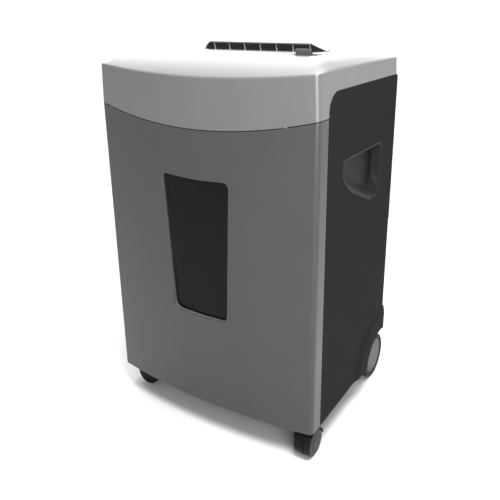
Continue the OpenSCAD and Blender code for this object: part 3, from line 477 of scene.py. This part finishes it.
def top_z(y):
    """Height of the crown along the middle: a ridge near the front, falling both ways."""
    if y < RIDGE_Y:
        return RIDGE_H - FRONT_FALL * ((RIDGE_Y - y) / RIDGE_IN) ** 2
    return RIDGE_H - REAR_FALL * ((y - RIDGE_Y) / (REAR_Y - RIDGE_Y)) ** 2


def parting_z(x):
    """Height of the seam between the head and the drawer front."""
    return PARTING_H - PARTING_DIP * (1 - (x / HALF_W) ** 2)


def plan(inset):
    """Plan outline of the cabinet set in by inset, as (point, outward normal) pairs."""
    front_r = max(FRONT_CORNER - inset, LEAST_CORNER)
    rear_r = max(REAR_CORNER - inset, LEAST_CORNER)
    front_x = HALF_W - inset - front_r
    front_y = BOW_Y0 - math.sqrt((BOW_R - inset - front_r) ** 2 - front_x ** 2)
    rear_x, rear_y = HALF_W - inset - rear_r, REAR_Y - inset - rear_r
    corner_start = math.degrees(math.atan2(front_y - BOW_Y0, front_x))
    bow_end = front_x + front_r * math.cos(math.radians(corner_start))
    fronts = 26
    corners = 8
    sides = 34
    rears = 12
    half = []
    for k in range(fronts):
        x = bow_end * k / fronts
        y = bow_y(x, inset)
        half.append((Vector((x, y)), Vector((x, y - BOW_Y0)).normalized()))
    for k in range(corners + 1):
        d = direction(corner_start * (1 - k / corners))
        half.append((Vector((front_x, front_y)) + front_r * d, d))
    for k in range(1, sides):
        half.append((Vector((front_x + front_r, front_y + (rear_y - front_y) * k / sides)), Vector((1, 0))))
    for k in range(corners + 1):
        d = direction(90 * k / corners)
        half.append((Vector((rear_x, rear_y)) + rear_r * d, d))
    for k in range(1, rears):
        half.append((Vector((rear_x * (1 - k / rears), REAR_Y - inset)), Vector((0, 1))))
    middle_back = [(Vector((0, REAR_Y - inset)), Vector((0, 1)))]
    other = [(Vector((-p.x, p.y)), Vector((-n.x, n.y))) for p, n in reversed(half[1:])]
    return half + middle_back + other


def crown_z(x, y):
    """Height of the head's top: the crown, falling over the shoulders to the side edges."""
    z = top_z(y)
    reach = min(1.0, max(0.0, (abs(x) - (HALF_W - SHOULDER_IN)) / SHOULDER_W))
    return z - max(0.0, z - EDGE_H) * reach ** 1.5


def head_body(drop):
    """Closed solid of the head, set in by drop on every side: walls, rolled rim and crowned top."""
    outline = plan(drop)
    soft = EDGE_R if drop == 0 else INNER_EDGE_R

    def lean(z):
        return max(0.0, z - PARTING_H) * DRAFT

    def at(p, z):
        back = max(0.0, p.y / REAR_Y)
        return Vector((p.x * (1 - lean(z) / HALF_W), p.y - lean(z) * back, z))

    def rim(n):
        return soft * (1 + REAR_SOFTER * max(0.0, n.y))

    def ring(points, level):
        return [at(p, level(p, n)) for p, n in points]

    def wall(share):
        return ring(outline, lambda p, n: PARTING_H + share * (crown_z(p.x, p.y) - drop - rim(n) - PARTING_H))

    rings = [ring(outline, lambda p, n: SKIRT_H)] + [wall(share) for share in (0.0, 0.35, 0.7, 1.0)]
    edge = rings[-1]
    for k in range(1, ROLL_STEPS + 1):
        a = math.pi / 2 * k / ROLL_STEPS
        rolled = []
        for base, (p, n) in zip(edge, outline):
            flat = base.xy - n * rim(n) * (1 - math.cos(a))
            rise = crown_z(flat.x, flat.y) - drop - rim(n) * (1 - math.sin(a))
            rolled.append(Vector((flat.x, flat.y, rise)))
        rings.append(rolled)
    for inset in INSETS:
        level = ring(plan(drop + inset), lambda p, n: top_z(p.y))
        rings.append([Vector((v.x, v.y, crown_z(v.x, v.y) - drop)) for v in level])
    return loft(rings)


def seam_curve(lift):
    """Points along the parting, from left to right, moved up by lift."""
    xs = [HALF_W * k / 24 for k in range(-24, 25)]
    return [(x, parting_z(x) + lift) for x in xs]


def head_shell():
    shell = as_object("head_shell", head_body(0.0))
    below_seam = 0.45
    seam_end = WRAP_Y + 40 * MM
    lift = 0.3 * MM
    parting = [(FAR, below_seam), (FAR, PARTING_H + lift)] + seam_curve(lift)[::-1]
    parting += [(-FAR, PARTING_H + lift), (-FAR, below_seam)]
    panel_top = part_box("side_panel_right")[1].z + 0.8 * MM
    below_panel = 0.38
    behind_panel = 0.2
    panel = rounded([(WRAP_Y, below_panel, 0), (WRAP_Y, panel_top, 30 * MM),
                     (behind_panel, panel_top, 0), (behind_panel, below_panel, 0)], 10)
    gap = 0.2 * MM
    bezel_lo, bezel_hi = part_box("switch_bezel")
    cx, cy = (bezel_lo.x + bezel_hi.x) / 2, (bezel_lo.y + bezel_hi.y) / 2
    tip, half = (bezel_hi.x - bezel_lo.x) / 2 + gap, (bezel_hi.y - bezel_lo.y) / 2 + gap
    flat = tip - 4.4 * MM
    point = tip + 0.9 * MM
    point_r = 6 * MM
    corner_r = 4 * MM
    recess = rounded([(cx - point, cy, point_r), (cx - flat, cy - half, corner_r),
                      (cx + flat, cy - half, corner_r), (cx + point, cy, point_r),
                      (cx + flat, cy + half, corner_r), (cx - flat, cy + half, corner_r)])
    lens_lo, lens_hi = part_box("indicator_lens")
    left, right = lens_lo.x - gap, lens_hi.x + gap
    front, back = lens_lo.y - gap, lens_hi.y + gap
    lens = rounded([(left, front, corner_r), (right, front, corner_r),
                    (right, back, corner_r), (left, back, corner_r)])
    throat_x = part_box("throat_liner")[1].x - 2 * MM
    throat_front = 1.5 * MM
    throat_back = 32 * MM
    throat = [(-throat_x, throat_front), (throat_x, throat_front),
              (throat_x, throat_back), (-throat_x, throat_back)]

    carve(shell, [
        head_body(SHELL),
        prism(parting, across, -FAR, seam_end),
        prism(panel, lambda u, v, t: Vector((t, u, v)), -FAR, FAR),
        prism(throat, upright, CUT_LOW, CUT_HIGH),
        prism(recess, upright, CUT_LOW, CUT_HIGH),
        prism(lens, upright, CUT_LOW, CUT_HIGH),
    ])
    piece(shell, "silver_shell", "cabinet", ["top_cover"], 0.45)


head_shell()


# ---------------------------------------------------------------- drawer front

WINDOW_TOP_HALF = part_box("window_pane")[1].x + 0.15 * MM
WINDOW_LOW_HALF = 50 * MM
WINDOW_HIGH = 427 * MM
WINDOW_LOW = 205 * MM


def window(i):
    """Outline of the window, set in by i: wider at the top, with slightly bowed ends."""
    bow_r = 300 * MM
    low, high = WINDOW_LOW + i, WINDOW_HIGH - i
    low_half, top_half = WINDOW_LOW_HALF - i, WINDOW_TOP_HALF - i
    return rounded([
        (-low_half, low, 12 * MM - i), (0, low - 2.5 * MM, bow_r), (low_half, low, 12 * MM - i),
        (top_half, high, 9 * MM - i), (0, high - 3 * MM, bow_r), (-top_half, high, 4 * MM - i)], 8)


def column(inset, z0, z1):
    """Upright solid on the cabinet's plan, from z0 to z1."""
    ring = [p for p, n in plan(inset)]
    return loft([[Vector((p.x, p.y, z)) for p in ring] for z in (z0, z1)])


def drawer_shell():
    """Bowed front with a deep-edged window, its fixing posts and the tongue of the door switch."""
    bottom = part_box("drawer_front")[0].z
    gap = 0.9 * MM
    above = [(-FAR, CUT_HIGH), (-FAR, PARTING_H - gap)] + seam_curve(-gap)
    above += [(FAR, PARTING_H - gap), (FAR, CUT_HIGH)]
    behind = [(-FAR, 0.0), (FAR, 0.0), (FAR, CUT_HIGH), (-FAR, CUT_HIGH)]
    opening = (-0.2, -0.1)
    blank_top = 0.54
    hollow_top = 0.6
    shell = as_object("drawer_shell", column(0.0, bottom, blank_top))
    carve(shell, [column(SHELL, 0.0, hollow_top), prism(behind, across, WRAP_Y - 0.2 * MM, FAR),
                  prism(above, across, -FAR, FAR), prism(window(0.0), across, *opening)])
    piece(shell, "silver_front", "drawer", ["drawer_front"], 0.9, 3)

    reveal_top = 0.5
    reveal_back = -149 * MM
    reveal = as_object("window_reveal", column(0.6 * MM, bottom, reveal_top))
    keep = as_object("keep", prism(window(-2.4 * MM), across, opening[0], reveal_back))
    m = reveal.modifiers.new("keep", "BOOLEAN")
    m.operation = "INTERSECT"
    m.solver = "EXACT"
    m.object = keep
    carve(reveal, [prism(window(0.0), across, *opening)])
    # The reveal takes the head's lighter silver, not the drawer's, so the lip round the window shows lighter
    # than the front around it.
    piece(reveal, "silver_shell", "drawer", ["drawer_front"])

    fixings = bmesh.new()
    bin_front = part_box("waste_bin")[0].y
    post_r = 6 * MM
    sunk = 1 * MM
    for x in (-115 * MM, 115 * MM):
        for z in (95 * MM, 415 * MM):
            y0 = bow_y(x, sunk)
            reach = bin_front - y0
            add_to(fixings, lathe([(0.0, 0.0), (post_r, 0.0), (post_r, reach), (0.0, reach)],
                                  (x, y0, z), (0, 1, 0), 32))
    plunger_lo, plunger_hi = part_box("door_switch_plunger")
    tongue = (plunger_lo + plunger_hi) / 2
    half_w = 3 * MM
    half_h = 6 * MM
    root = bow_y(tongue.x + half_w, sunk) + 0.8 * MM
    end = plunger_lo.y - 0.6 * MM
    corners = ((-1, -1), (1, -1), (1, 1), (-1, 1))
    add_to(fixings, loft([[Vector((tongue.x + sx * half_w, y, tongue.z + sz * half_h)) for sx, sz in corners]
                          for y in (root, end)]))
    piece(as_object("drawer_fixings", fixings), "silver_front", "drawer", ["drawer_front"], 0.3)


drawer_shell()


# ---------------------------------------------------------------- finger pockets

PARALLEL = 1e-12


def radial(points, middle, angle):
    """Distance from middle to a closed outline in one direction."""
    d = Vector((math.cos(angle), math.sin(angle)))
    best = 0.0
    for k, p in enumerate(points):
        a, b = points[k - 1] - middle, p - middle
        e = b - a
        det = d.x * e.y - d.y * e.x
        if abs(det) < PARALLEL:
            continue
        t = (a.x * e.y - a.y * e.x) / det
        s = (a.x * d.y - a.y * d.x) / det
        if 0 <= s <= 1 and t > best:
            best = t
    return best


def pocket(side, node):
    """A dished pocket with a raised, rolled lip, following the CAD cup's outline."""
    lo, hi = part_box(node)
    mouth_x = max(abs(lo.x), abs(hi.x))
    deep_x = min(abs(lo.x), abs(hi.x))
    middle = Vector((lo.y + 80.5 * MM, hi.z - 36.5 * MM))
    lip = 2 * MM
    top, low = hi.z - lip, lo.z + lip
    back, front = hi.y - lip, lo.y + lip

    def outline(i):
        return rounded([
            (front + i, top - i, 11 * MM - i / 2), (back - i, top - i, 11 * MM - i / 2),
            (back - i, low + i, 22 * MM - i / 2), (back - 37.5 * MM, low + i, 26 * MM),
            (front + 28.5 * MM + i / 2, low + 34 * MM + i, 105 * MM),
            (front + i, low + 59.5 * MM + i / 3, 24 * MM)], 10)

    floor = rounded([
        (front + 20.5 * MM, top - 4.5 * MM, 9 * MM), (back - 6.5 * MM, top - 4.5 * MM, 8 * MM),
        (back - 6.5 * MM, low + 20.5 * MM, 12 * MM), (back - 39.5 * MM, low + 21.3 * MM, 20 * MM),
        (front + 63.5 * MM, low + 39.5 * MM, 36 * MM), (front + 32.5 * MM, top - 16.5 * MM, 9 * MM)], 10)
    count = 144
    angles = [2 * math.pi * k / count for k in range(count)]
    base = [radial(floor, middle, a) for a in angles]
    smoothing = 3
    for _ in range(smoothing):
        base = [(base[k - 1] + base[k] + base[(k + 1) % count]) / 3 for k in range(count)]

    def ring(radii, x):
        return [Vector((side * x, middle.x + r * math.cos(a), middle.y + r * math.sin(a)))
                for r, a in zip(radii, angles)]

    def rim(i):
        points = outline(i)
        return [radial(points, middle, a) for a in angles]

    wall = rim(1.6 * MM)
    wall_x = mouth_x - 1.3 * MM
    depth = deep_x + 1.8 * MM
    skirt_x = mouth_x - 0.75 * MM
    skirt_in = 0.35 * MM
    rings = [ring([0.2 * b for b in base], deep_x), ring([1.02 * b for b in base], deep_x),
             ring(rim(skirt_in), mouth_x - 4 * MM), ring(rim(skirt_in), skirt_x), ring(rim(-lip), skirt_x)]
    rolled_lip = [(-1.9, 0.35), (-1.5, 0.05), (-0.9, 0.0), (0.3, 0.1), (1.1, 0.5)]
    rings += [ring(rim(inset * MM), mouth_x - sunk * MM) for inset, sunk in rolled_lip]
    rings.append(ring(wall, wall_x))
    floor_share = 0.98
    dish_steps = 12
    for k in range(1, dish_steps + 1):
        t = k / dish_steps
        drop = 1.0 - (1.0 - t) ** 1.5
        x = wall_x - (wall_x - depth) * drop
        rings.append(ring([w + (floor_share * b - w) * t for w, b in zip(wall, base)], x))
    for share in (0.93, 0.8, 0.55, 0.25):
        rings.append(ring([share * floor_share * b for b in base], depth))
    o = as_object("pocket_" + ("right" if side > 0 else "left"), loft(rings))
    piece(o, "black_plastic", "cabinet", [node])


pocket(1, "handle_cup_right")
pocket(-1, "handle_cup_left")


# ---------------------------------------------------------------- rear screws

def screw_heads():
    """Domed heads with a cross recess, on their shanks."""
    head_r = 3.4 * MM
    shank_r = 1.6 * MM
    shank = 8 * MM
    x_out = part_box("rear_screws")[1].x - head_r
    high_face = REAR_Y + 1.7 * MM
    rows = [(150 * MM, REAR_Y), (285 * MM, REAR_Y), (315 * MM, high_face), (420 * MM, high_face),
            (540 * MM, high_face)]
    profile = [(0.0, -shank), (shank_r, -shank), (1.65 * MM, 0.02 * MM), (head_r, 0.02 * MM),
               (head_r, 0.6 * MM), (head_r - 0.35 * MM, 1.15 * MM), (2.2 * MM, 1.6 * MM),
               (0.9 * MM, 1.76 * MM), (0.0, 1.76 * MM)]
    arm_long = 2.0 * MM
    arm_half = 0.45 * MM
    bm = bmesh.new()
    crosses = bmesh.new()
    for z, face in rows:
        for x in (-x_out, x_out):
            add_to(bm, lathe(profile, (x, face, z), (0, 1, 0), 32))
            for w, h in ((arm_half, arm_long), (arm_long, arm_half)):
                arm = [(x - w, z - h), (x + w, z - h), (x + w, z + h), (x - w, z + h)]
                add_to(crosses, prism(arm, across, face + 0.7 * MM, face + 4 * MM))
    heads = as_object("screw_heads", bm)
    carve(heads, [crosses])
    piece(heads, "machined_steel", "cabinet", ["rear_screws"])


screw_heads()


# ---------------------------------------------------------------- wheels

def rear_wheel(side, name):
    """A grooved rubber tyre with round shoulders, and its hub with a shallow ring near the rim."""
    tyre_lo, tyre_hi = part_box("rear_tyre_" + name)
    hub_lo, hub_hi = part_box("rear_hub_" + name)
    centre = (tyre_lo + tyre_hi) / 2
    inner_x = min(abs(tyre_lo.x), abs(tyre_hi.x))
    start = Vector((side * inner_x, centre.y, centre.z))
    w = tyre_hi.x - tyre_lo.x
    r = (tyre_hi.z - tyre_lo.z) / 2
    hub = (hub_hi.z - hub_lo.z) / 2
    face = hub_hi.x - hub_lo.x - 1 * MM
    shoulder = 3.2 * MM
    tread = [(hub, 0.0), (r - shoulder, 0.0)]
    tread += [(r - shoulder + shoulder * math.sin(math.radians(a)),
               shoulder - shoulder * math.cos(math.radians(a))) for a in (20, 40, 60, 80)]
    grooves = 4
    bed = r - 0.7 * MM
    for k in range(1, grooves + 1):
        t = shoulder + (w - 2 * shoulder) * k / (grooves + 1)
        tread += [(r, t - 0.9 * MM), (bed, t - 0.5 * MM), (bed, t + 0.5 * MM), (r, t + 0.9 * MM)]
    tread += [(r - shoulder + shoulder * math.cos(math.radians(a)),
               w - shoulder + shoulder * math.sin(math.radians(a))) for a in (10, 30, 50, 70, 90)]
    tread += [(hub + 1.6 * MM, w), (hub + 1.2 * MM, w - 0.5 * MM), (hub, w - 0.5 * MM)]
    piece(as_object("tyre_" + name, lathe(tread, start, (side, 0, 0), 128)),
          "tyre_rubber", "rear_wheel_" + name, ["rear_tyre_" + name])
    bore = 5.05 * MM
    boss = 11 * MM
    web = w - 6 * MM
    rim_in = hub - 3 * MM
    rim_out = hub - 0.05 * MM
    bore_end = w - 3.5 * MM
    cap = [(bore, 0.0), (boss, 0.0), (boss, web), (rim_in, web), (rim_in, 1 * MM), (rim_out, 1 * MM),
           (rim_out, face - 0.9 * MM), (hub - 0.5 * MM, face - 0.3 * MM), (hub - 1.3 * MM, face),
           (hub - 2.6 * MM, face), (hub - 3.1 * MM, face - 0.5 * MM), (hub - 3.8 * MM, face - 0.5 * MM),
           (hub - 4.4 * MM, face - 0.1 * MM), (hub * 0.5, face - 0.02 * MM), (hub * 0.2, face), (0.0, face),
           (0.0, bore_end), (bore, bore_end)]
    piece(as_object("hub_" + name, lathe(cap, start, (side, 0, 0), 128)),
          "hub_grey", "rear_wheel_" + name, ["rear_hub_" + name])


for side, name in ((1, "right"), (-1, "left")):
    rear_wheel(side, name)


def caster_wheel(name):
    """One wheel of a twin caster: plain tread, round shoulder and a shallow ring in its outer face."""
    node = "caster_wheel_" + name
    lo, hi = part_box(node)
    hood_lo, hood_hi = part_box("caster_hood_" + name.split("_")[0])
    centre = (lo + hi) / 2
    r = (hi.z - lo.z) / 2
    along = 0 if hi.x - lo.x < hi.y - lo.y else 1
    w = (hi - lo)[along]
    away = 1 if centre[along] > ((hood_lo + hood_hi) / 2)[along] else -1
    axis = Vector((away, 0, 0)) if along == 0 else Vector((0, away, 0))
    start = centre - axis * w / 2
    bore = 3.05 * MM
    round_r = 2.6 * MM
    round_w = 2.8 * MM
    tread_end = w - 3.2 * MM
    bore_end = w - 1.5 * MM
    profile = [(bore, 0.0), (r - 1.0 * MM, 0.0), (r - 0.3 * MM, 0.3 * MM), (r, 1.0 * MM), (r, tread_end)]
    profile += [(r - round_r + round_r * math.cos(math.radians(a)),
                 tread_end + round_w * math.sin(math.radians(a))) for a in (15, 30, 45, 60, 75)]
    profile += [(r - 3.4 * MM, w - 0.35 * MM), (0.66 * r, w - 0.15 * MM), (0.62 * r, w - 0.5 * MM),
                (0.56 * r, w - 0.5 * MM), (0.52 * r, w - 0.05 * MM), (0.3 * r, w), (0.0, w),
                (0.0, bore_end), (bore, bore_end)]
    piece(as_object("roller_" + name, lathe(profile, start, axis, 96)), "caster_plastic", node, [node])


for name in ("left_outer", "left_inner", "right_inner", "right_outer"):
    caster_wheel(name)


# ---------------------------------------------------------------- floor and light

FLOOR_SIZE = 40.0
FLOOR_GREY = ((0.49, 0.49, 0.49), (0.51, 0.51, 0.51))
WALL = (-0.49, 0.80, 0.35)
WALL_EDGE = (0.66, 0.84)
WALL_LIGHT = 3.6
ROOM_LIGHT = 0.45


def make_floor():
    bm = bmesh.new()
    bmesh.ops.create_grid(bm, x_segments=8, y_segments=8, size=FLOOR_SIZE)
    o = as_object("floor", bm)
    m, nt, bsdf = new_material("floor")
    coord = nt.nodes.new("ShaderNodeTexCoord").outputs["Object"]
    nt.links.new(tint(nt, noise(nt, coord, 3.0), *FLOOR_GREY), bsdf.inputs["Base Color"])
    bsdf.inputs["Roughness"].default_value = 0.8
    bsdf.inputs["Specular IOR Level"].default_value = 0.1
    o.data.materials.append(m)


def area(name, loc, target, size, power):
    """Square softbox at loc, facing target."""
    d = bpy.data.lights.new(name, "AREA")
    d.energy = power
    d.shape = "SQUARE"
    d.size = size
    o = bpy.data.objects.new(name, d)
    scene.collection.objects.link(o)
    o.location = loc
    o.rotation_mode = "QUATERNION"
    o.rotation_quaternion = (Vector(loc) - Vector(target)).to_track_quat("Z", "Y")


def studio_world():
    """A bright wall behind the machine that falls off to a dim room in front of it."""
    world = bpy.data.worlds.new("studio")
    world.use_nodes = True
    nt = world.node_tree
    coord = nt.nodes.new("ShaderNodeTexCoord").outputs["Generated"]
    facing = nt.nodes.new("ShaderNodeVectorMath")
    facing.operation = "DOT_PRODUCT"
    facing.inputs[1].default_value = WALL
    nt.links.new(coord, facing.inputs[0])
    level = remap(nt, facing.outputs["Value"], *WALL_EDGE, ROOM_LIGHT, WALL_LIGHT)
    nt.nodes["Background"].inputs["Color"].default_value = (1.0, 1.0, 1.0, 1.0)
    nt.links.new(level, nt.nodes["Background"].inputs["Strength"])
    scene.world = world


def sun(name, toward, power, spread):
    """Wide, soft sunlight that comes from the direction toward."""
    d = bpy.data.lights.new(name, "SUN")
    d.energy = power
    d.angle = math.radians(spread)
    o = bpy.data.objects.new(name, d)
    scene.collection.objects.link(o)
    o.location = toward
    o.rotation_mode = "QUATERNION"
    o.rotation_quaternion = Vector(toward).to_track_quat("Z", "Y")


make_floor()
studio_world()
sun("overhead", (0.05, 0.18, 1.0), 3.8, 45.0)
area("key", (0.45, -0.40, 1.24), (0.08, -0.1, 0.3), 0.45, 22.0)
area("corner", (1.0, -1.0, 0.66), (0.17, -0.13, 0.5), 0.8, 17.0)
scene.view_settings.view_transform = "Standard"
